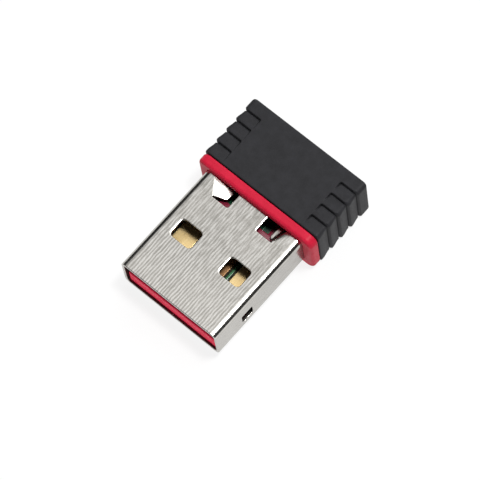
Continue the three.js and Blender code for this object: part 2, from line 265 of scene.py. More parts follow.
def sheet_mesh(bm, outer, holes, fill, place, thick, mat=0, support=0.03):
    """A sheet with rounded rims. place(p, depth) puts a flat point at a depth under the face."""
    loops = [(outer[0], True) + outer[1:]] + [(h[0], False) + h[1:] for h in holes]
    pts, edges, rims = [], [], []
    inner_loops = []
    for loop, is_outer, wide, deep, rim_mat in loops:
        into = inward(loop, is_outer)
        wide = np.array([wide(v) if callable(wide) else wide for v in into])[:, None]
        a, b = loop + into * wide, loop + into * (wide + support)
        start = len(pts)
        n = len(loop)
        pts += list(a)
        edges += [(start + i, start + (i + 1) % n) for i in range(n)]
        start2 = len(pts)
        pts += list(b)
        edges += [(start2 + i, start2 + (i + 1) % n) for i in range(n)]
        rims.append((loop, into, start, wide[:, 0], deep, rim_mat))
        inner_loops.append((a, is_outer, b))
    fill = np.array(fill, float)
    keep = inside(fill, inner_loops[0][2])
    for a, is_outer, b in inner_loops[1:]:
        keep &= ~inside(fill, b)
    # leave out fill points that crowd the rims
    rim_pts = np.array(pts)
    kept = []
    for p in fill[keep]:
        if np.min(np.sum((rim_pts - p) ** 2, 1)) > 0.05 ** 2:
            kept.append(p)
    pts += kept
    res = delaunay_2d_cdt([Vector((float(p[0]), float(p[1]))) for p in pts], edges, [], 0, 1e-7)
    vco, tris, orig = res[0], res[2], res[3]
    vco = np.array([(v.x, v.y) for v in vco])
    tri = np.array([t for t in tris if len(t) == 3])
    cen = vco[tri].mean(1)
    ok = inside(cen, inner_loops[0][0])
    for a, is_outer, b in inner_loops[1:]:
        ok &= ~inside(cen, a)
    tri = tri[ok]
    back = {}
    for new, olds in enumerate(orig):
        for o in olds:
            back[o] = new
    top = {}
    low = {}
    for i in sorted(set(tri.ravel().tolist())):
        top[i] = bm.verts.new(place(vco[i], 0.0))
        low[i] = bm.verts.new(place(vco[i], thick))
    for t in tri.tolist():
        for faces_of, order, m in ((top, t, mat), (low, t[::-1], mat + 1)):
            try:
                bm.faces.new([faces_of[k] for k in order]).material_index = m
            except ValueError:
                pass
    # from the face to the cut: across the rim, and down it
    profile = ((0.80, 0.035), (0.62, 0.12), (0.40, 0.25), (0.20, 0.40), (0.08, 0.58), (0.0, 1.0))
    for loop, into, start, wide, deep, rim_mat in rims:
        n = len(loop)
        rows = [[top[back[start + i]] for i in range(n)]]
        for e, d in profile:
            rows.append([bm.verts.new(place(loop[i] + into[i] * e * wide[i], d * deep)) for i in range(n)])
        face_rows = len(rows) - 1
        for e, d in reversed(profile):
            rows.append([bm.verts.new(place(loop[i] + into[i] * e * wide[i], thick - d * 0.05)) for i in range(n)])
        rows.append([low[back[start + i]] for i in range(n)])
        for q, (a, b) in enumerate(zip(rows, rows[1:])):
            for i in range(n):
                j = (i + 1) % n
                try:
                    f = bm.faces.new((a[i], a[j], b[j], b[i]))
                    f.material_index = rim_mat if q >= face_rows else mat
                except ValueError:
                    pass


# ------------------------------------------------------------------ node helpers
class Nodes:
    def __init__(self, tree):
        self.t = tree

    def add(self, kind, **values):
        n = self.t.nodes.new(kind)
        for k, v in values.items():
            if k.startswith("in_"):
                continue
            setattr(n, k, v)
        return n

    def link(self, a, b):
        self.t.links.new(a, b)

    def value(self, socket, v):
        socket.default_value = v


def material(name):
    m = bpy.data.materials.new(name)
    m.use_nodes = True
    t = m.node_tree
    bsdf = t.nodes["Principled BSDF"]
    return m, Nodes(t), bsdf


def mm_coords(n, scale):
    """Object coordinates in millimetres, stretched."""
    tc = n.add("ShaderNodeTexCoord")
    mp = n.add("ShaderNodeMapping")
    mp.inputs["Scale"].default_value = tuple(1000.0 * s for s in scale)
    n.link(tc.outputs["Object"], mp.inputs["Vector"])
    return mp.outputs["Vector"]


def noise(n, vec, scale=1.0, detail=3.0, rough=0.5, distort=0.0):
    t = n.add("ShaderNodeTexNoise")
    t.inputs["Scale"].default_value = scale
    t.inputs["Detail"].default_value = detail
    t.inputs["Roughness"].default_value = rough
    t.inputs["Distortion"].default_value = distort
    n.link(vec, t.inputs["Vector"])
    return t.outputs["Fac"]


def ramp(n, fac, stops, interpolation="LINEAR"):
    r = n.add("ShaderNodeValToRGB")
    cr = r.color_ramp
    cr.interpolation = interpolation
    while len(cr.elements) > 1:
        cr.elements.remove(cr.elements[-1])
    cr.elements[0].position = stops[0][0]
    cr.elements[0].color = (*stops[0][1], 1)
    for p, c in stops[1:]:
        e = cr.elements.new(p)
        e.color = (*c, 1)
    n.link(fac, r.inputs["Fac"])
    return r.outputs["Color"]


def remap(n, v, a, b, c, d):
    m = n.add("ShaderNodeMapRange")
    m.inputs["From Min"].default_value = a
    m.inputs["From Max"].default_value = b
    m.inputs["To Min"].default_value = c
    m.inputs["To Max"].default_value = d
    n.link(v, m.inputs["Value"])
    return m.outputs["Result"]


def math_node(n, op, a, b):
    m = n.add("ShaderNodeMath", operation=op)
    for s, v in zip(m.inputs, (a, b)):
        if isinstance(v, (int, float)):
            s.default_value = v
        else:
            n.link(v, s)
    return m.outputs[0]


def mix_colour(n, fac, a, b, mode="MIX"):
    m = n.add("ShaderNodeMix", data_type="RGBA", blend_type=mode)
    for s, v in ((m.inputs[0], fac), (m.inputs[6], a), (m.inputs[7], b)):
        if isinstance(v, (int, float)):
            s.default_value = v
        elif isinstance(v, tuple):
            s.default_value = (*v, 1)
        else:
            n.link(v, s)
    return m.outputs[2]


def bump(n, bsdf, height, distance_mm, strength=1.0, normal=None):
    b = n.add("ShaderNodeBump")
    b.inputs["Strength"].default_value = strength
    b.inputs["Distance"].default_value = distance_mm * MM
    n.link(height, b.inputs["Height"])
    if normal is not None:
        n.link(normal, b.inputs["Normal"])
    if bsdf is not None:
        n.link(b.outputs["Normal"], bsdf.inputs["Normal"])
    return b.outputs["Normal"]


def mat_shell():
    m, n, b = material("shell_metal")
    lines = n.add("ShaderNodeTexWave", wave_type="BANDS", bands_direction="X", wave_profile="SIN")
    lines.inputs["Scale"].default_value = 1.05
    lines.inputs["Distortion"].default_value = 2.6
    lines.inputs["Detail"].default_value = 2.0
    lines.inputs["Detail Scale"].default_value = 1.3
    lines.inputs["Detail Roughness"].default_value = 0.6
    sep = n.add("ShaderNodeSeparateXYZ")
    n.link(mm_coords(n, (1.0, 1.0, 1.0)), sep.inputs[0])
    across = n.add("ShaderNodeCombineXYZ")
    n.link(math_node(n, "ADD", sep.outputs["X"], sep.outputs["Z"]), across.inputs["X"])
    n.link(math_node(n, "MULTIPLY", sep.outputs["Y"], 0.50), across.inputs["Y"])
    n.link(across.outputs["Vector"], lines.inputs["Vector"])
    streak = noise(n, mm_coords(n, (4.6, 0.95, 4.6)), 1.0, 2.5, 0.55)
    fine = noise(n, mm_coords(n, (9.0, 1.5, 9.0)), 1.0, 2.0, 0.5)
    patch = noise(n, mm_coords(n, (0.22, 0.16, 0.22)), 1.0, 2.0, 0.5)
    share = remap(n, sep.outputs["Y"], -7.0, 0.5, 0.54, 0.27)
    mixed = math_node(n, "ADD", math_node(n, "MULTIPLY", remap(n, lines.outputs["Fac"], 0, 1, 0, 1), share),
                      math_node(n, "MULTIPLY", remap(n, streak, 0.25, 0.75, 0, 1),
                                math_node(n, "SUBTRACT", 1.0, share)))
    base = ramp(n, mixed, [(0.22, (0.33, 0.318, 0.292)), (0.5, (0.520, 0.504, 0.472)), (0.78, (0.760, 0.744, 0.708))])
    base = mix_colour(n, remap(n, fine, 0.3, 0.7, 0.0, 0.25), base, (0.42, 0.405, 0.38))
    base = mix_colour(n, remap(n, patch, 0.35, 0.7, 0.0, 0.20), base, (0.40, 0.38, 0.35))
    flank = remap(n, math_node(n, "ABSOLUTE", sep.outputs["X"], 0.0), 5.4, 5.85, 0.0, 0.62)
    base = mix_colour(n, flank, base, (0.535, 0.520, 0.490))
    # brighter towards the mouth, darker towards the collar
    front_to_back_tone = remap(n, sep.outputs["Y"], -8.5, -2.0, 1.07, 0.96)
    tone = n.add("ShaderNodeCombineXYZ")
    for axis in "XYZ":
        n.link(front_to_back_tone, tone.inputs[axis])
    base = mix_colour(n, 1.0, base, tone.outputs["Vector"], "MULTIPLY")
    n.link(base, b.inputs["Base Color"])
    b.inputs["Specular Tint"].default_value = (0.80, 0.80, 0.80, 1)
    b.inputs["Metallic"].default_value = 1.0
    r = math_node(n, "ADD", remap(n, mixed, 0.0, 1.0, 0.24, 0.15), remap(n, patch, 0.3, 0.7, -0.02, 0.04))
    n.link(r, b.inputs["Roughness"])
    h = math_node(n, "ADD", mixed, math_node(n, "MULTIPLY", fine, 0.3))
    bump(n, b, h, 0.004, 0.4)
    return m


# A much darker copy of the shell metal for the sheet's inner faces and its window and cutout rims: painted shade
# inside the plug. k darkens it further.
def mat_shell_painted_shade(name="shell_metal_painted_shade", k=1.0):
    m, n, b = material(name)
    lines = noise(n, mm_coords(n, (7.0, 0.8, 7.0)), 1.0, 3.0, 0.55)
    stain = noise(n, mm_coords(n, (0.9, 0.7, 0.9)), 1.0, 3.0, 0.5)
    base = ramp(n, lines, [(0.3, (0.085 * k, 0.080 * k, 0.072 * k)), (0.7, (0.150 * k, 0.143 * k, 0.130 * k))])
    base = mix_colour(n, remap(n, stain, 0.4, 0.75, 0.0, 0.5), base, (0.060 * k, 0.055 * k, 0.048 * k))
    n.link(base, b.inputs["Base Color"])
    b.inputs["Metallic"].default_value = 1.0
    b.inputs["Specular Tint"].default_value = (0.5, 0.5, 0.5, 1)
    n.link(remap(n, lines, 0.3, 0.7, 0.52, 0.38), b.inputs["Roughness"])
    bump(n, b, lines, 0.008, 0.5)
    return m


def mat_cut_edge():
    m, n, b = material("shell_metal_cut_edge")
    drag = noise(n, mm_coords(n, (1.3, 9.0, 1.3)), 1.0, 3.0, 0.55)
    spots = noise(n, mm_coords(n, (3.0, 3.0, 3.0)), 1.0, 3.0, 0.5)
    base = ramp(n, drag, [(0.3, (0.50, 0.485, 0.455)), (0.7, (0.66, 0.645, 0.612))])
    base = mix_colour(n, remap(n, spots, 0.45, 0.75, 0.0, 0.35), base, (0.42, 0.405, 0.375))
    n.link(base, b.inputs["Base Color"])
    b.inputs["Metallic"].default_value = 1.0
    b.inputs["Specular Tint"].default_value = (0.80, 0.80, 0.80, 1)
    n.link(remap(n, spots, 0.3, 0.7, 0.24, 0.38), b.inputs["Roughness"])
    bump(n, b, drag, 0.004, 0.4)
    return m


def mat_black():
    m, n, b = material("black_plastic")
    grain = noise(n, mm_coords(n, (9, 9, 9)), 1.0, 3.0, 0.6)
    spots = noise(n, mm_coords(n, (1.1, 1.1, 1.1)), 1.0, 3.0, 0.55)
    base = ramp(n, spots, [(0.3, (0.0168, 0.0168, 0.0186)), (0.7, (0.0238, 0.0238, 0.0268))])
    base = mix_colour(n, remap(n, grain, 0.4, 0.75, 0.0, 0.5), base, (0.026, 0.026, 0.028))
    n.link(base, b.inputs["Base Color"])
    n.link(remap(n, grain, 0.3, 0.7, 0.58, 0.44), b.inputs["Roughness"])
    b.inputs["Specular IOR Level"].default_value = 0.10
    bump(n, b, grain, 0.012, 0.7)
    return m


def mat_red(name="red_plastic", dark=False):
    m, n, b = material(name)
    mottle = noise(n, mm_coords(n, (1.2, 1.2, 1.2)), 1.0, 3.0, 0.55)
    grain = noise(n, mm_coords(n, (11, 11, 11)), 1.0, 2.0, 0.5)
    base = ramp(n, mottle, [(0.3, (0.465, 0.011, 0.034)), (0.7, (0.545, 0.016, 0.045))])
    base = mix_colour(n, remap(n, grain, 0.4, 0.8, 0.0, 0.3), base, (0.50, 0.010, 0.035))
    n.link(base, b.inputs["Base Color"])
    n.link(remap(n, mottle, 0.3, 0.7, 0.46, 0.36), b.inputs["Roughness"])
    b.inputs["Specular IOR Level"].default_value = 0.08
    bump(n, b, grain, 0.0015, 0.4)
    return m


# A brighter copy of the red plastic for the nose in the mouth, which sits in the shell's shade: painted light.
def mat_red_nose_painted_light():
    m, n, b = material("red_plastic_nose_painted_light")
    mottle = noise(n, mm_coords(n, (1.2, 1.2, 1.2)), 1.0, 3.0, 0.55)
    grain = noise(n, mm_coords(n, (8, 8, 8)), 1.0, 2.0, 0.5)
    base = ramp(n, mottle, [(0.3, (0.76, 0.014, 0.060)), (0.7, (0.86, 0.024, 0.078))])
    base = mix_colour(n, remap(n, grain, 0.4, 0.8, 0.0, 0.3), base, (0.66, 0.012, 0.05))
    n.link(base, b.inputs["Base Color"])
    n.link(remap(n, mottle, 0.3, 0.7, 0.55, 0.42), b.inputs["Roughness"])
    b.inputs["Specular IOR Level"].default_value = 0.12
    bump(n, b, grain, 0.004, 0.5)
    return m


# A dark copy of the red plastic for the carrier's parts inside the shell: painted shade.
def mat_red_painted_shade():
    m, n, b = material("red_plastic_painted_shade")
    mottle = noise(n, mm_coords(n, (1.4, 1.4, 1.4)), 1.0, 3.0, 0.55)
    grain = noise(n, mm_coords(n, (9, 9, 9)), 1.0, 2.0, 0.5)
    base = ramp(n, mottle, [(0.3, (0.155, 0.008, 0.026)), (0.7, (0.21, 0.013, 0.036))])
    base = mix_colour(n, remap(n, grain, 0.4, 0.8, 0.0, 0.3), base, (0.14, 0.007, 0.020))
    n.link(base, b.inputs["Base Color"])
    n.link(remap(n, mottle, 0.3, 0.7, 0.34, 0.24), b.inputs["Roughness"])
    b.inputs["Specular IOR Level"].default_value = 0.5
    bump(n, b, grain, 0.006, 0.5)
    return m


def mat_gold(name="contact_gold", k=(1.0, 1.0, 1.0)):
    m, n, b = material(name)
    wipe = noise(n, mm_coords(n, (5.0, 0.5, 5.0)), 1.0, 3.0, 0.55)
    blot = noise(n, mm_coords(n, (1.1, 0.9, 1.1)), 1.0, 3.0, 0.5)
    base = ramp(n, wipe, [(0.3, (0.72, 0.52, 0.225)), (0.7, (0.84, 0.65, 0.33))])
    base = mix_colour(n, remap(n, blot, 0.40, 0.75, 0.0, 0.5), base, (0.58, 0.39, 0.16))
    base = mix_colour(n, 1.0, base, k, "MULTIPLY")
    n.link(base, b.inputs["Base Color"])
    b.inputs["Metallic"].default_value = 0.45
    n.link(remap(n, wipe, 0.3, 0.7, 0.42, 0.30), b.inputs["Roughness"])
    bump(n, b, wipe, 0.004, 0.4)
    return m


def mat_green(name="board_green", low=(0.007, 0.050, 0.024), high=(0.013, 0.085, 0.038)):
    m, n, b = material(name)
    weave = n.add("ShaderNodeTexWave", wave_type="BANDS", bands_direction="DIAGONAL")
    weave.inputs["Scale"].default_value = 0.9
    weave.inputs["Distortion"].default_value = 1.2
    n.link(mm_coords(n, (1, 1, 1)), weave.inputs["Vector"])
    cloud = noise(n, mm_coords(n, (0.8, 0.8, 0.8)), 1.0, 3.0, 0.5)
    base = ramp(n, cloud, [(0.3, low), (0.7, high)])
    base = mix_colour(n, remap(n, weave.outputs["Fac"], 0.0, 1.0, 0.0, 0.25), base, tuple(1.5 * v for v in high))
    n.link(base, b.inputs["Base Color"])
    n.link(remap(n, cloud, 0.3, 0.7, 0.30, 0.20), b.inputs["Roughness"])
    b.inputs["Coat Weight"].default_value = 0.4
    b.inputs["Coat Roughness"].default_value = 0.12
    bump(n, b, cloud, 0.01, 0.4)
    return m


# The laminate is made near black so that the board's edge and the gaps between the pads read dark in the windows:
# painted shade.
def mat_laminate():
    m, n, b = material("board_laminate_painted_shade")
    fibre = noise(n, mm_coords(n, (2.0, 2.0, 14.0)), 1.0, 3.0, 0.6)
    base = ramp(n, fibre, [(0.3, (0.010, 0.011, 0.006)), (0.7, (0.026, 0.027, 0.013))])
    n.link(base, b.inputs["Base Color"])
    n.link(remap(n, fibre, 0.3, 0.7, 0.7, 0.5), b.inputs["Roughness"])
    b.inputs["Specular IOR Level"].default_value = 0.12
    bump(n, b, fibre, 0.02, 0.5)
    return m


def mat_copper():
    m, n, b = material("antenna_copper")
    grain = noise(n, mm_coords(n, (4, 4, 4)), 1.0, 3.0, 0.55)
    base = ramp(n, grain, [(0.3, (0.55, 0.27, 0.12)), (0.7, (0.80, 0.44, 0.22))])
    n.link(base, b.inputs["Base Color"])
    b.inputs["Metallic"].default_value = 1.0
    n.link(remap(n, grain, 0.3, 0.7, 0.45, 0.28), b.inputs["Roughness"])
    bump(n, b, grain, 0.01, 0.5)
    return m


def mat_chip():
    m, n, b = material("chip_black")
    grain = noise(n, mm_coords(n, (14, 14, 14)), 1.0, 3.0, 0.6)
    base = ramp(n, grain, [(0.3, (0.012, 0.012, 0.013)), (0.7, (0.035, 0.035, 0.038))])
    n.link(base, b.inputs["Base Color"])
    n.link(remap(n, grain, 0.3, 0.7, 0.66, 0.5), b.inputs["Roughness"])
    bump(n, b, grain, 0.015, 0.6)
    return m


def mat_can():
    m, n, b = material("can_metal")
    brush = noise(n, mm_coords(n, (7.0, 1.2, 7.0)), 1.0, 3.0, 0.55)
    base = ramp(n, brush, [(0.3, (0.55, 0.54, 0.51)), (0.7, (0.75, 0.74, 0.71))])
    n.link(base, b.inputs["Base Color"])
    b.inputs["Metallic"].default_value = 1.0
    n.link(remap(n, brush, 0.3, 0.7, 0.4, 0.24), b.inputs["Roughness"])
    bump(n, b, brush, 0.01, 0.5)
    return m


def mat_ferrite():
    m, n, b = material("ferrite_grey")
    grain = noise(n, mm_coords(n, (10, 10, 10)), 1.0, 3.0, 0.6)
    base = ramp(n, grain, [(0.3, (0.045, 0.045, 0.048)), (0.7, (0.10, 0.10, 0.105))])
    n.link(base, b.inputs["Base Color"])
    n.link(remap(n, grain, 0.3, 0.7, 0.75, 0.55), b.inputs["Roughness"])
    bump(n, b, grain, 0.02, 0.6)
    return m


def mat_ceramic():
    m, n, b = material("capacitor_ceramic")
    grain = noise(n, mm_coords(n, (12, 12, 12)), 1.0, 3.0, 0.55)
    base = ramp(n, grain, [(0.3, (0.34, 0.24, 0.14)), (0.7, (0.46, 0.34, 0.22))])
    n.link(base, b.inputs["Base Color"])
    n.link(remap(n, grain, 0.3, 0.7, 0.5, 0.35), b.inputs["Roughness"])
    bump(n, b, grain, 0.01, 0.5)
    return m


M = {
    "shell_metal": mat_shell(), "black_plastic": mat_black(), "red_plastic": mat_red(),
    "contact_gold": mat_gold(), "board_green": mat_green(), "antenna_copper": mat_copper(),
    "chip_black": mat_chip(), "can_metal": mat_can(), "ferrite_grey": mat_ferrite(),
    "capacitor_ceramic": mat_ceramic(),
}
LAMINATE = mat_laminate()
# The data pads' gold darkened to brown: painted shade.
GOLD_PAINTED_SHADE = mat_gold("contact_gold_painted_shade", (0.50, 0.35, 0.31))
MASK_STRIP = mat_green("board_green_strip", (0.022, 0.105, 0.045), (0.075, 0.24, 0.10))
# Lit and shaded copies: the darker red for the parts inside the shell and the darker shell metals for its inner faces,
# rims and side slot are painted shade; the brighter red nose is painted light.
RED_PAINTED_SHADE = mat_red_painted_shade()
RED_NOSE_PAINTED_LIGHT = mat_red_nose_painted_light()
SHELL_PAINTED_SHADE = mat_shell_painted_shade()
CUT_EDGE = mat_cut_edge()
SLOT_PAINTED_SHADE = mat_shell_painted_shade("shell_metal_slot_painted_shade", 0.22)


def piece(obj, slot_name, *nodes):
    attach(obj, "root")
    if nodes:
        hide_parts(*nodes)
    return obj


# ------------------------------------------------------------------ plug shell: one rolled sheet
QUARTER = 1.06                            # the bend, measured round it; it eases off the flat, then is round
_T = np.linspace(0, 1, 401)
_TILT = math.pi / 2 * _T ** 1.30
_CX = np.concatenate([[0], np.cumsum((np.cos(_TILT[1:]) + np.cos(_TILT[:-1])) / 2)]) / 400
_CZ = np.concatenate([[0], np.cumsum((np.sin(_TILT[1:]) + np.sin(_TILT[:-1])) / 2)]) / 400
RUN, DROP = QUARTER * float(_CX[-1]), QUARTER * float(_CZ[-1])
S_TOP = PLUG_HW - RUN                     # half the flat top
S_SIDE = S_TOP + QUARTER                  # the bend ends, the side wall begins
S_LOW = S_SIDE + 2 * (PLUG_HH - DROP)
S_UNDER = S_LOW + QUARTER
S_SEAM = S_UNDER + S_TOP - 0.012

CUT_FRONT, CUT_BACK, CUT_IN = 10.62, 13.1, 1.8
HINGE = 3.72
# the tabs' free edges: distance from the middle at the front corner and at the collar
TAB_EDGE = {1: ((3.03, 11.22), (3.18, 12.60)), -1: ((2.46, 11.36), (2.40, 12.60))}


def tab_fall(x, y, side):
    """How far the sheet has been pressed down at a point of the top; x is from the middle, y from the mouth."""
    if x > 5.19 or y < 10.6 or x < 2.2:
        return 0.0
    run = min(1.0, max(0.0, (y - 10.66) / 1.65))
    start = HINGE + 0.04 + 1.20 * run                    # the fold lies on a slant
    d = start - x
    if d <= 0:
        return 0.0
    if side > 0:
        # a shallow slope, then a short steep step down to a flat lip
        lip = 3.42 + 0.20 * (y - 11.22)
        gentle = 0.26 * min(1.0, d / max(0.25, start - lip)) ** 2
        lift = smooth((y - 10.62) / 0.40)
        step = 0.36 * (1 - smooth((x - lip) / 0.42))
        return (gentle + step + 0.06 * max(0.0, lip - x)) * lift
    # the other stays a nearly plane flap, its corner by the collar curled under
    k = 0.50 / max(1.0, start - 2.42)
    q = 0.75 * (2.98 - x) + 0.66 * (y - 11.60)
    return k * (math.sqrt(d * d + 0.08 ** 2) - 0.08) + 0.15 * max(0.0, q) ** 2 * smooth(d / 1.2)


def bend_at(t):
    """Where the eased bend has got to: along the first face, off it, and its tilt."""
    return (float(np.interp(t, _T, _CX)) * QUARTER, float(np.interp(t, _T, _CZ)) * QUARTER,
            float(np.interp(t, _T, _TILT)))


def shell_point(p, depth):
    """The sheet's flat point (s round the section, y from the mouth) rolled into the tube."""
    s, y = float(p[0]), float(p[1])
    sign = 1.0 if s >= 0 else -1.0
    a = abs(s)
    if a <= S_TOP:
        x, z, nx, nz = a, PLUG_HH, 0.0, 1.0
        side = 1 if sign > 0 else -1
        fall = tab_fall(x, y, side)
        if fall > 0:
            e = 0.02
            gx = (tab_fall(x + e, y, side) - tab_fall(x - e, y, side)) / (2 * e)
            gy = (tab_fall(x, y + e, side) - tab_fall(x, y - e, side)) / (2 * e)
            n = Vector((gx, gy, 1.0)).normalized()
            if n.z < 0.45:
                n = Vector((n.x, n.y, 0.45)).normalized()
            return Vector((sign * (x - n.x * depth), MOUTH + y - n.y * depth, MID + z - fall - n.z * depth))
    elif a <= S_SIDE:
        run, fall, tilt = bend_at((a - S_TOP) / QUARTER)
        x, z, nx, nz = S_TOP + run, PLUG_HH - fall, math.sin(tilt), math.cos(tilt)
    elif a <= S_LOW:
        x, z, nx, nz = PLUG_HW, PLUG_HH - DROP - (a - S_SIDE), 1.0, 0.0
    elif a <= S_UNDER:
        run, fall, tilt = bend_at((S_UNDER - a) / QUARTER)
        x, z, nx, nz = S_TOP + run, fall - PLUG_HH, math.sin(tilt), -math.cos(tilt)
    else:
        x, z, nx, nz = S_TOP - (a - S_UNDER), -PLUG_HH, 0.0, -1.0
    return Vector((sign * (x - nx * depth), MOUTH + y, MID + z - nz * depth))


def build_shell():
    bm = bmesh.new()
    outer = rounded_loop([(-S_SEAM, 0), (S_SEAM, 0), (S_SEAM, SHELL_LENGTH), (-S_SEAM, SHELL_LENGTH)], 0.02, 0.4, 3)
    # the rolled sheet's edge needs points through each bend
    def densify(loop):
        out = []
        n = len(loop)
        marks = []
        for sgn in (-1, 1):
            for k in range(0, 13):
                marks += [sgn * (S_TOP + QUARTER * k / 12), sgn * (S_LOW + QUARTER * k / 12)]
        for i in range(n):
            p, q = loop[i], loop[(i + 1) % n]
            out.append(p)
            if abs(p[1] - q[1]) < 1e-9:
                lo, hi = min(p[0], q[0]), max(p[0], q[0])
                mid = sorted([m for m in marks if lo + 0.015 < m < hi - 0.015], reverse=q[0] < p[0])
                for m in mid:
                    out.append(np.array((m, p[1])))
        return np.array(out)
    outer = densify(outer)
    holes = []
    def rolled(into):
        # the stamped edge is rolled over along one side
        return 0.05 + 0.13 * smooth((-into[0] - 0.3) / 0.6)
    def rect(x0, x1, y0, y1, r, step=0.25):
        return rounded_loop([(x0, y0), (x1, y0), (x1, y1), (x0, y1)], r, step, 7)
    for sgn in (-1, 1):
        x0, x1 = sorted((sgn * 1.80, sgn * 4.33))
        holes.append((rect(x0, x1, 5.12, 7.24, 0.42), rolled, 0.085, 1))
        # underneath: the same two windows, measured round the section from the top's middle
        u0, u1 = sorted((sgn * (S_UNDER + S_TOP - 1.80), sgn * (S_UNDER + S_TOP - 4.33)))
        holes.append((rect(u0, u1, 5.12, 7.24, 0.42), 0.08, 0.07, 1))
        # side slot; its rims take the darkest copy of the shell metal, painted shade
        zc = 1.98 - PLUG_HH                       # its middle, from the section's middle
        sc = S_SIDE + (PLUG_HH - DROP) - zc
        u0, u1 = sorted((sgn * (sc - 0.66), sgn * (sc + 0.66)))
        holes.append((rect(u0, u1, 3.56, 5.06, 0.16), 0.03, 0.02, 2))
        # cutout at the back, with the tab's free edge on its outer side
        tip, root = TAB_EDGE[sgn]
        pts = [(CUT_IN, CUT_FRONT), (HINGE, CUT_FRONT), (HINGE, CUT_FRONT + 0.09), tip,
               (root[0], CUT_BACK), (CUT_IN, CUT_BACK)]
        pts = [(sgn * a, b) for a, b in pts]
        holes.append((rounded_loop(pts, [0.20, 0.09, 0.09, 0.18, 0.2, 0.2], 0.08, 5),
                      rolled if sgn > 0 else 0.06, 0.07, 1))
    fill = []
    ys = np.arange(0.4, SHELL_LENGTH, 0.4)
    for sgn in (-1, 1):
        for k in range(0, 13):
            for base in (S_TOP, S_LOW):
                fill += [(sgn * (base + QUARTER * k / 12), y) for y in ys]
        for a in (0.6, 1.2, 1.5, 2.4, 3.2, 4.0, 4.7, 5.0, 5.14):
            fill += [(sgn * a, y) for y in ys]
        for a in (S_SIDE + 0.04, S_SIDE + 0.3, S_SIDE + 1.2, S_SIDE + 2.0, S_LOW - 0.3, S_LOW - 0.04):
            fill += [(sgn * a, y) for y in ys]
        for a in (0.04, 0.3, 1.2, 2.2, 3.2, 4.2, 4.8):
            fill += [(sgn * (S_UNDER + a), y) for y in ys]
        for a in np.arange(2.4, 5.2, 0.08):
            fill += [(sgn * a, y) for y in np.arange(10.5, 13.2, 0.08)]
    # distinct points only
    fill = np.array(sorted(set((round(float(a), 4), round(float(b), 4)) for a, b in fill)))
    sheet_mesh(bm, (outer, lambda v: 0.06 if abs(v[1]) > 0.5 else 0.02, 0.06, 3), holes, fill, shell_point, SHEET)
    # the inner faces and the window and cutout rims take the darker copy of the shell metal, painted shade
    o = finish_mesh("plug_shell", bm, [M["shell_metal"], SHELL_PAINTED_SHADE, SLOT_PAINTED_SHADE, CUT_EDGE], 50)
    return piece(o, "shell_metal", "usb_shell")


build_shell()

# ------------------------------------------------------------------ collar
FX = np.linspace(-1, 1, 15).tolist()
FZ = np.linspace(-1, 1, 7).tolist()


def section(hw, hh, r, y, fx=FX, fz=FZ, nc=10):
    pts, nrm = ring(hw, hh, r, fx, fz, nc)
    return [(x, y, MID + z) for x, z in pts]


def build_collar():
    bm = bmesh.new()
    secs = []
    hw, hh, r = CAP_HW, CAP_HH, COLLAR_CORNER
    edge, back = 0.36, 0.17
    ihw, ihh, ir = PLUG_HW + 0.012, PLUG_HH + 0.012, BEND + 0.012
    # front face, outwards from the shell
    secs.append(section(ihw, ihh, ir, COLLAR_Y1 + 0.0))
    secs.append(section(ihw, ihh, ir, COLLAR_Y0 + 0.07))
    for k in range(0, 4):
        a = math.pi / 2 * k / 3
        g = 0.03 * (1 - math.cos(a))
        secs.append(section(ihw + g, ihh + g, ir + g, COLLAR_Y0 + 0.03 * (1 - math.sin(a))))
    fw = edge + 0.02
    secs.append(section(hw - fw - 0.03, hh - fw - 0.03, r - 0.3, COLLAR_Y0))
    for k in range(0, 9):
        a = math.pi / 2 * k / 8
        d = edge * (1 - math.sin(a))
        secs.append(section(hw - d, hh - d, max(0.3, r - d), COLLAR_Y0 + edge * (1 - math.cos(a))))
    secs.append(section(hw, hh, r, COLLAR_Y0 + edge + 0.03))
    secs.append(section(hw, hh, r, COLLAR_Y1 - back - 0.02))
    for k in range(0, 5):
        a = math.pi / 2 * k / 4
        d = back * (1 - math.cos(a))
        secs.append(section(hw - d, hh - d, r - d, COLLAR_Y1 - back + back * math.sin(a)))
    secs.append(section(ihw + 0.4, ihh + 0.15, ir + 0.15, COLLAR_Y1))
    add_loft(bm, secs, closed=True)
    return bm


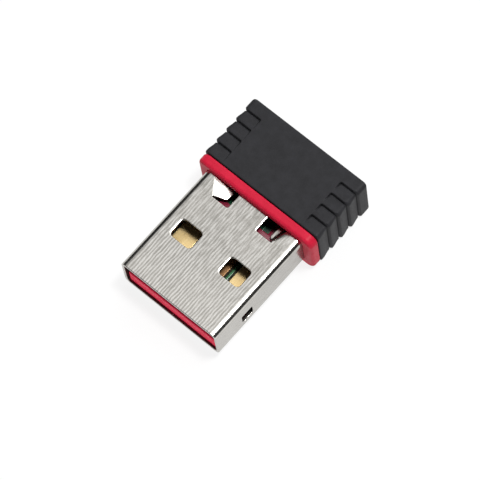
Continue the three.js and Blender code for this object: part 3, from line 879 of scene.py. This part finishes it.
def build_carrier():
    bm = build_collar()
    half = 5.6
    rail = 4.96
    z0, z1, tz = 1.15, 1.4, TONGUE_Z
    y = lambda v: MOUTH + v
    # the nose takes the brighter red, painted light
    add_box(bm, -half, half, y(0.25), y(1.45), z0, tz, 0.17, 5, 2)
    # the boxes inside the shell take the darker red, painted shade
    add_box(bm, -half + 0.02, half - 0.02, y(1.2), 5.285, z0, z1, 0.04, 2, 1)
    for sgn in (-1, 1):
        def side(a, b):
            return sorted((sgn * a, sgn * b))
        # rails in runs, with the way in behind the side slot left low between them
        add_box(bm, *side(rail, half), y(1.3), y(3.4), z0, tz, 0.05, 2, 1)
        add_box(bm, *side(rail, half), y(5.2), y(9.8), z0, tz, 0.05, 2, 1)
        add_box(bm, *side(rail, half), y(9.3), 5.2, z0, tz, 0.05, 2, 1)
        add_box(bm, *side(rail - 0.42, half - 0.12), y(1.3), 5.2, z0 + 0.02, 2.2, 0.03, 2, 1)
        add_box(bm, *side(rail, half), y(9.55), y(10.5), tz - 0.3, 4.95, 0.06, 2, 1)
        add_box(bm, *side(6.06, 6.34), COLLAR_Y1 - 0.4, 5.285, MID - 1.7, MID + 1.7, 0.05, 2, 1)
    # bar over the board, stepped down towards the collar under the shell's cutouts
    add_box(bm, -half, half, y(9.55), y(10.35), 3.06, 4.95, 0.07, 3, 1)
    add_box(bm, -3.95, 3.95, y(10.1), y(11.36), 3.06, 4.22, 0.12, 4, 1)
    add_box(bm, 2.35, 2.80, y(11.2), 4.6, 3.06, 3.42, 0.06, 2, 1)
    # wall behind the shell, with the way through for the board
    for a, b, c, d in ((-6.34, 6.34, 4.36, 5.5), (-6.34, 6.34, 0.6, 2.19), (-6.34, -4.97, 2.0, 4.5), (4.97, 6.34, 2.0, 4.5)):
        add_box(bm, a, b, 4.585, 5.285, c, d, 0.06, 2, 1)
    o = finish_mesh("carrier", bm, [M["red_plastic"], RED_PAINTED_SHADE, RED_NOSE_PAINTED_LIGHT], 40)
    return piece(o, "red_plastic", "insulator_carrier")


build_carrier()

# ------------------------------------------------------------------ end cap
GRIP_LINES = [CAP_Y1 - 1.38 - 1.42 * i for i in range(4)]
GRIP_DEPTH, GRIP_IN = 0.155, 5.02


def grip(x, z, y, on_side):
    """How deep the grip pockets are at a point of the cap's outside."""
    ax = abs(x)
    if not on_side and ax < GRIP_IN - 0.08:
        return 0.0
    d = 0.0
    for line in GRIP_LINES:
        u = line - y
        if -0.16 < u < 1.42:
            mask, wall = 1.0, 0.0
            if not on_side:
                # the pocket's inner end: a small round corner, then a low wall fading forwards
                q = (GRIP_IN + 0.20 - ax) / 0.20
                if q > 0:
                    u = u - 0.16 * (1 - math.sqrt(max(0.0, 1 - min(1.0, q) ** 2)))
                mask = smooth((ax - GRIP_IN + 0.03) / 0.09)
                wall = 0.13 * math.exp(-((ax - GRIP_IN - 0.07) / 0.05) ** 2) * math.exp(-(max(0.0, u) / 0.45) ** 2)
            lead = 0.15 if on_side else 0.03
            if u <= -lead:
                continue
            if u < 0.09:
                f = smooth((u + lead) / (lead + 0.09))
            elif u < 0.20:
                f = 1.0
            else:
                t = (u - 0.20) / (1.30 - 0.20)
                f = 0.5 + 0.5 * math.cos(min(1.0, t) * math.pi) if t < 1 else 0.0
            groove = (0.13 * math.exp(-((u - 0.12) / 0.065) ** 2) if on_side
                      else 0.16 * math.exp(-((u - 0.12) / 0.058) ** 2))
            d = max(d, (GRIP_DEPTH * f + groove + wall * smooth((u + 0.03) / 0.12)) * mask)
    return d


def build_cap():
    bm = bmesh.new()
    ax = CAP_HW - CAP_CORNER
    marks = set(np.linspace(-1, 1, 13).round(5).tolist())
    for sgn in (-1, 1):
        for v in (4.93, 4.96, 4.985, 5.01, 5.035, 5.06, 5.085, 5.11, 5.14, 5.17, 5.20, 5.24, 5.3, 5.5, 5.8, 6.1, 6.45):
            marks.add(round(sgn * v / ax, 5))
    fx = sorted(marks)
    fz = np.linspace(-1, 1, 13).tolist()
    nc = 10

    def cap_section(hw, hh, r, y, deep=True):
        pts, nrm = ring(hw, hh, r, fx, fz, nc)
        out = []
        for (x, z), (nx, nz) in zip(pts, nrm):
            g = grip(x, z, y, abs(nx) > 0.02) if deep else 0.0
            out.append((x - nx * g, y, MID + z - nz * g))
        return out

    secs = []
    chw, chh = CAP_HW - 0.75, CAP_HH - 0.52
    yb = CAP_Y1 - 0.9
    secs.append(cap_section(chw - 0.3, chh - 0.3, 0.25, yb, False))
    secs.append(cap_section(chw, chh, 0.45, yb - 0.25, False))
    secs.append(cap_section(chw, chh, 0.45, COLLAR_Y1 + 0.1, False))
    secs.append(cap_section(chw + 0.06, chh + 0.03, 0.5, COLLAR_Y1, False))
    gap, front = 0.075, 0.20
    secs.append(cap_section(CAP_HW - 0.34, CAP_HH - 0.34, 0.36, COLLAR_Y1 + 0.002, False))
    secs.append(cap_section(CAP_HW - 0.34, CAP_HH - 0.34, 0.36, COLLAR_Y1 + gap, False))
    for k in range(0, 6):
        a = math.pi / 2 * k / 5
        d = 0.13 * (1 - math.sin(a))
        secs.append(cap_section(CAP_HW - d, CAP_HH - d, CAP_CORNER - d * 0.5,
                                COLLAR_Y1 + gap + (front - gap) * (1 - math.cos(a)), False))
    secs.append(cap_section(CAP_HW, CAP_HH, CAP_CORNER, COLLAR_Y1 + front + 0.02, False))
    ys = set()
    y = COLLAR_Y1 + front + 0.06
    while y < CAP_Y1 - 0.36:
        ys.add(round(y, 4))
        y += 0.07
    for line in GRIP_LINES:
        for u in np.arange(-0.16, 0.72, 0.018):
            ys.add(round(line - float(u), 4))
        for u in np.arange(1.1, 1.34, 0.03):
            ys.add(round(line - float(u), 4))
    ys = sorted(ys)
    ys = [v for i, v in enumerate(ys) if i == 0 or v - ys[i - 1] > 0.006]
    for v in ys:
        secs.append(cap_section(CAP_HW, CAP_HH, CAP_CORNER, v))
    rp, re = 0.32, 0.24
    for k in range(0, 15):
        a = math.pi / 2 * k / 14
        t = rp * (1 - math.sin(a))
        dx = rp - math.sqrt(max(0.0, rp * rp - (rp - t) ** 2))
        dz = re - math.sqrt(max(0.0, re * re - (re - t) ** 2)) if t < re else 0.0
        rr = max(0.25, CAP_CORNER - 0.4 * dx - 0.3 * dz)
        secs.append(cap_section(CAP_HW - dx, CAP_HH - dz, rr, CAP_Y1 - t, False))
    secs.append(cap_section(CAP_HW - rp - 0.03, CAP_HH - re - 0.03, 0.25, CAP_Y1, False))
    add_loft(bm, secs, cap_start=True, cap_end=True)
    o = finish_mesh("end_shell", bm, [M["black_plastic"]], 46)
    return piece(o, "black_plastic", "end_cap")


build_cap()

# ------------------------------------------------------------------ circuit board
def build_board():
    bm = bmesh.new()
    y = lambda v: MOUTH + v
    # the board's body takes the near-black laminate, painted shade at its edges and between the pads
    add_box(bm, -4.9, 4.9, y(1.5), y(19.3), 2.2, 2.985, 0.03, 2, mat=0)
    # solder mask, left open round the contact pads
    top, t = 3.004, 2.98
    for a, b in ((-4.88, -4.84), (4.84, 4.88)):
        add_box(bm, a, b, y(1.52), y(9.42), t, top, 0.006, 1, mat=1)
    for a, b in ((-2.27, -2.04), (-0.2, 0.2), (2.04, 2.27)):
        add_box(bm, a, b, y(1.6), y(9.42), t, top, 0.008, 2, mat=3)
    add_box(bm, -4.88, 4.88, y(1.52), y(1.66), t, top, 0.008, 2, mat=1)
    add_box(bm, -4.88, 4.88, y(9.42), y(19.28), t, top, 0.008, 2, mat=1)
    add_box(bm, -4.88, 4.88, y(1.52), y(19.28), 2.195, 2.22, 0.008, 2, mat=1)
    # traces under the mask stand slightly proud
    for x, w, y0, y1 in ((-3.72, 0.5, 9.4, 13.0), (-0.9, 0.16, 9.4, 11.4), (0.9, 0.16, 9.4, 11.4),
                         (3.72, 0.5, 9.4, 13.6), (2.4, 0.3, 10.3, 13.4), (-2.6, 0.3, 9.9, 12.9),
                         (-0.4, 0.14, 12.3, 16.2), (1.5, 0.2, 10.2, 13.3), (-1.6, 0.14, 9.9, 11.9)):
        add_box(bm, x - w / 2, x + w / 2, y(y0), y(y1), 2.99, 3.016, 0.01, 2, mat=1)
    # plated holes
    for x, v in ((-2.1, 10.6), (2.1, 10.9), (-3.1, 11.2), (3.15, 11.4), (4.3, 10.3), (-4.3, 10.4), (1.5, 12.9), (-0.4, 12.9)):
        part = bmesh.new()
        bmesh.ops.create_cone(part, cap_ends=True, segments=20, radius1=0.2, radius2=0.17, depth=0.03)
        for q in part.verts:
            q.co += Vector((x, y(v), 3.012))
        merge(bm, part, 2)
        part = bmesh.new()
        bmesh.ops.create_cone(part, cap_ends=True, segments=16, radius1=0.1, radius2=0.09, depth=0.03)
        for q in part.verts:
            q.co += Vector((x, y(v), 3.0135))
        merge(bm, part, 0)
    o = finish_mesh("board", bm, [LAMINATE, M["board_green"], M["contact_gold"], MASK_STRIP], 40)
    return piece(o, "board_green", "circuit_board")


build_board()


def build_pad(node, x, width, start):
    bm = bmesh.new()
    x0, x1, y0, y1 = x - width / 2, x + width / 2, MOUTH + start, MOUTH + 9.3
    loop = rounded_loop([(x0, y0), (x1, y0), (x1, y1), (x0, y1)], 0.16, 0.6, 6)
    into = inward(loop, True)
    rows = []
    for e, z in ((0.0, 2.99), (0.0, 3.03), (0.006, 3.04), (0.018, 3.047), (0.035, TONGUE_Z), (0.06, TONGUE_Z)):
        q = loop + into * e
        rows.append([(float(a), float(b), z) for a, b in q])
    add_loft(bm, rows, cap_start=True, cap_end=True)
    # the data pads take the gold darkened to brown, painted shade
    o = finish_mesh(node + "_pad", bm, [GOLD_PAINTED_SHADE if "data" in node else M["contact_gold"]], 60)
    piece(o, "contact_gold", node)


for node, x, w, s in (("contact_vbus", 3.66, 2.26, 1.8), ("contact_data_minus", 1.08, 1.40, 2.8),
                      ("contact_data_plus", -1.08, 1.40, 2.8), ("contact_ground", -3.66, 2.26, 1.8)):
    build_pad(node, x, w, s)

# ------------------------------------------------------------------ parts on the board
def soldered_part(node, slot_name, mat, bevel):
    lo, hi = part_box(node)
    lo, hi = lo / MM, hi / MM
    long_x = (hi.x - lo.x) > (hi.y - lo.y)
    end = 0.26 * ((hi.x - lo.x) if long_x else (hi.y - lo.y))
    bm = bmesh.new()
    g = 0.015
    if long_x:
        add_box(bm, lo.x + end * 0.8, hi.x - end * 0.8, lo.y + g, hi.y - g, lo.z, hi.z - g, bevel, 3, 0)
        for a, b in ((lo.x, lo.x + end), (hi.x - end, hi.x)):
            add_box(bm, a, b, lo.y, hi.y, lo.z, hi.z, bevel, 3, 1)
    else:
        add_box(bm, lo.x + g, hi.x - g, lo.y + end * 0.8, hi.y - end * 0.8, lo.z, hi.z - g, bevel, 3, 0)
        for a, b in ((lo.y, lo.y + end), (hi.y - end, hi.y)):
            add_box(bm, lo.x, hi.x, a, b, lo.z, hi.z, bevel, 3, 1)
    o = finish_mesh(node + "_body", bm, [mat, M["can_metal"]], 40)
    piece(o, slot_name, node)


for node in ("input_capacitor", "output_capacitor", "core_capacitor", "crystal_capacitor_left",
             "crystal_capacitor_right", "antenna_match_capacitor", "antenna_match_inductor"):
    soldered_part(node, "capacitor_ceramic", M["capacitor_ceramic"], 0.05)
for node in ("data_resistor_left", "data_resistor_right", "bias_resistor"):
    soldered_part(node, "chip_black", M["chip_black"], 0.03)
soldered_part("power_inductor", "ferrite_grey", M["ferrite_grey"], 0.08)


def build_crystal():
    lo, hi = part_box("crystal_can")
    lo, hi = lo / MM, hi / MM
    bm = bmesh.new()
    add_box(bm, lo.x, hi.x, lo.y, hi.y, lo.z, lo.z + 0.18, 0.05, 3, 1)
    add_box(bm, lo.x + 0.12, hi.x - 0.12, lo.y + 0.12, hi.y - 0.12, lo.z + 0.1, hi.z, 0.12, 4, 0)
    o = finish_mesh("crystal", bm, [M["can_metal"], M["capacitor_ceramic"]], 40)
    piece(o, "can_metal", "crystal_can")


build_crystal()


def build_chip():
    lo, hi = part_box("wifi_chip")
    lo, hi = lo / MM, hi / MM
    bm = bmesh.new()
    add_box(bm, lo.x + 0.03, hi.x - 0.03, lo.y + 0.03, hi.y - 0.03, lo.z, hi.z - 0.02, 0.04, 3, 0)
    for i in range(12):
        for sgn in (-1, 1):
            c = (i - 5.5) * 0.4
            cx, cy = (lo.x + hi.x) / 2, (lo.y + hi.y) / 2
            hw, hl = (hi.x - lo.x) / 2, (hi.y - lo.y) / 2
            a0, a1 = sorted((cx + sgn * (hw - 0.3), cx + sgn * hw))
            add_box(bm, a0, a1, cy + c - 0.1, cy + c + 0.1, hi.z - 0.16, hi.z, 0.02, 2, 1)
            b0, b1 = sorted((cy + sgn * (hl - 0.3), cy + sgn * hl))
            add_box(bm, cx + c - 0.1, cx + c + 0.1, b0, b1, hi.z - 0.16, hi.z, 0.02, 2, 1)
    o = finish_mesh("radio_chip", bm, [M["chip_black"], M["can_metal"]], 40)
    piece(o, "chip_black", "wifi_chip")


build_chip()

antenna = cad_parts["antenna_trace"]
antenna.data.materials.clear()
antenna.data.materials.append(M["antenna_copper"])

# ------------------------------------------------------------------ floor, world and lights
def build_floor():
    me = bpy.data.meshes.new("floor")
    me.from_pydata([(-2, -2, -2e-5), (2, -2, -2e-5), (2, 2, -2e-5), (-2, 2, -2e-5)], [], [(0, 1, 2, 3)])
    o = bpy.data.objects.new("floor", me)
    scene.collection.objects.link(o)
    m, n, b = material("floor_white")
    speck = noise(n, mm_coords(n, (0.05, 0.05, 0.05)), 1.0, 2.0, 0.5)
    base = ramp(n, speck, [(0.3, (0.12, 0.12, 0.12)), (0.7, (0.14, 0.14, 0.14))])
    n.link(base, b.inputs["Base Color"])
    b.inputs["Roughness"].default_value = 0.9
    b.inputs["Specular IOR Level"].default_value = 0.0
    b.inputs["Emission Color"].default_value = (1, 1, 1, 1)
    # a light table: an evenly glowing sheet, so what stands on it casts next to no shadow
    b.inputs["Emission Strength"].default_value = 0.85
    me.materials.append(m)


build_floor()


def build_world():
    w = bpy.data.worlds.new("studio")
    scene.world = w
    w.use_nodes = True
    t = w.node_tree
    n = Nodes(t)
    bg = t.nodes["Background"]
    tc = n.add("ShaderNodeTexCoord")
    # a pale dome overhead, leaning back a little, with dark walls round it
    dot = n.add("ShaderNodeVectorMath", operation="DOT_PRODUCT")
    n.link(tc.outputs["Generated"], dot.inputs[0])
    dot.inputs[1].default_value = tuple(Vector((-0.30, 0.30, 0.905)).normalized())
    grad = ramp(n, dot.outputs["Value"], [(0.0, (0.03, 0.03, 0.03)), (0.70, (0.03, 0.03, 0.03)),
                                          (0.79, (0.93, 0.93, 0.93)), (1.0, (0.98, 0.98, 0.98))])
    sep = n.add("ShaderNodeSeparateXYZ")
    n.link(tc.outputs["Generated"], sep.inputs[0])
    back = ramp(n, sep.outputs["Y"], [(0.34, (0.0, 0.0, 0.0)), (0.46, (1.0, 1.0, 1.0))])
    grad = mix_colour(n, math_node(n, "MULTIPLY", back, 0.9), grad, mix_colour(n, 1.0, grad, (2.2, 2.2, 2.2), "MULTIPLY"))
    front = ramp(n, sep.outputs["Y"], [(0.0, (0.03, 0.03, 0.03)), (0.01, (0.03, 0.03, 0.03)), (0.15, (1.0, 1.0, 1.0))])
    grad = mix_colour(n, 1.0, grad, front, "MULTIPLY")
    side = ramp(n, math_node(n, "ADD", sep.outputs["X"], 1.0), [(0.0, (0.03, 0.03, 0.03)), (0.40, (0.03, 0.03, 0.03)), (0.58, (1.0, 1.0, 1.0))])
    grad = mix_colour(n, 1.0, grad, side, "MULTIPLY")
    # a pale wall behind the object and a lower one in front, and a pale skirt at the horizon
    rear = ramp(n, sep.outputs["Y"], [(0.0, (0.0, 0.0, 0.0)), (0.50, (0.0, 0.0, 0.0)), (0.60, (1.0, 1.0, 1.0))])
    fore = ramp(n, math_node(n, "MULTIPLY", sep.outputs["Y"], -1.0), [(0.0, (0.0, 0.0, 0.0)), (0.40, (0.0, 0.0, 0.0)), (0.55, (1.0, 1.0, 1.0))])
    low_part = ramp(n, sep.outputs["Z"], [(0.0, (1.0, 1.0, 1.0)), (0.42, (1.0, 1.0, 1.0)), (0.60, (0.0, 0.0, 0.0))])
    col = mix_colour(n, rear, grad, (0.86, 0.86, 0.86), "LIGHTEN")
    col = mix_colour(n, math_node(n, "MULTIPLY", fore, low_part), col, (0.78, 0.78, 0.78))
    skirt = ramp(n, sep.outputs["Z"], [(0.0, (1.0, 1.0, 1.0)), (0.07, (1.0, 1.0, 1.0)), (0.10, (0.0, 0.0, 0.0))])
    col = mix_colour(n, skirt, col, (0.915, 0.915, 0.915))
    n.link(col, bg.inputs["Color"])
    bg.inputs["Strength"].default_value = 1.0


build_world()


def area(name, direction, distance, size, power, colour=(1, 1, 1)):
    d = Vector(direction).normalized()
    data = bpy.data.lights.new(name, "AREA")
    data.shape = "RECTANGLE"
    data.size, data.size_y = size
    data.energy = power
    data.color = colour
    o = bpy.data.objects.new(name, data)
    scene.collection.objects.link(o)
    o.location = d * distance
    o.rotation_mode = "QUATERNION"
    o.rotation_quaternion = d.to_track_quat("Z", "Y")
    return o


area("key", (0.20, 0.20, 0.95), 0.6, (0.11, 0.11), 2.9)
area("softbox", (0.12, 0.38, 0.92), 0.6, (0.30, 0.30), 0.35)
area("front", (0.15, -0.93, 0.33), 0.6, (0.30, 0.24), 0.2)
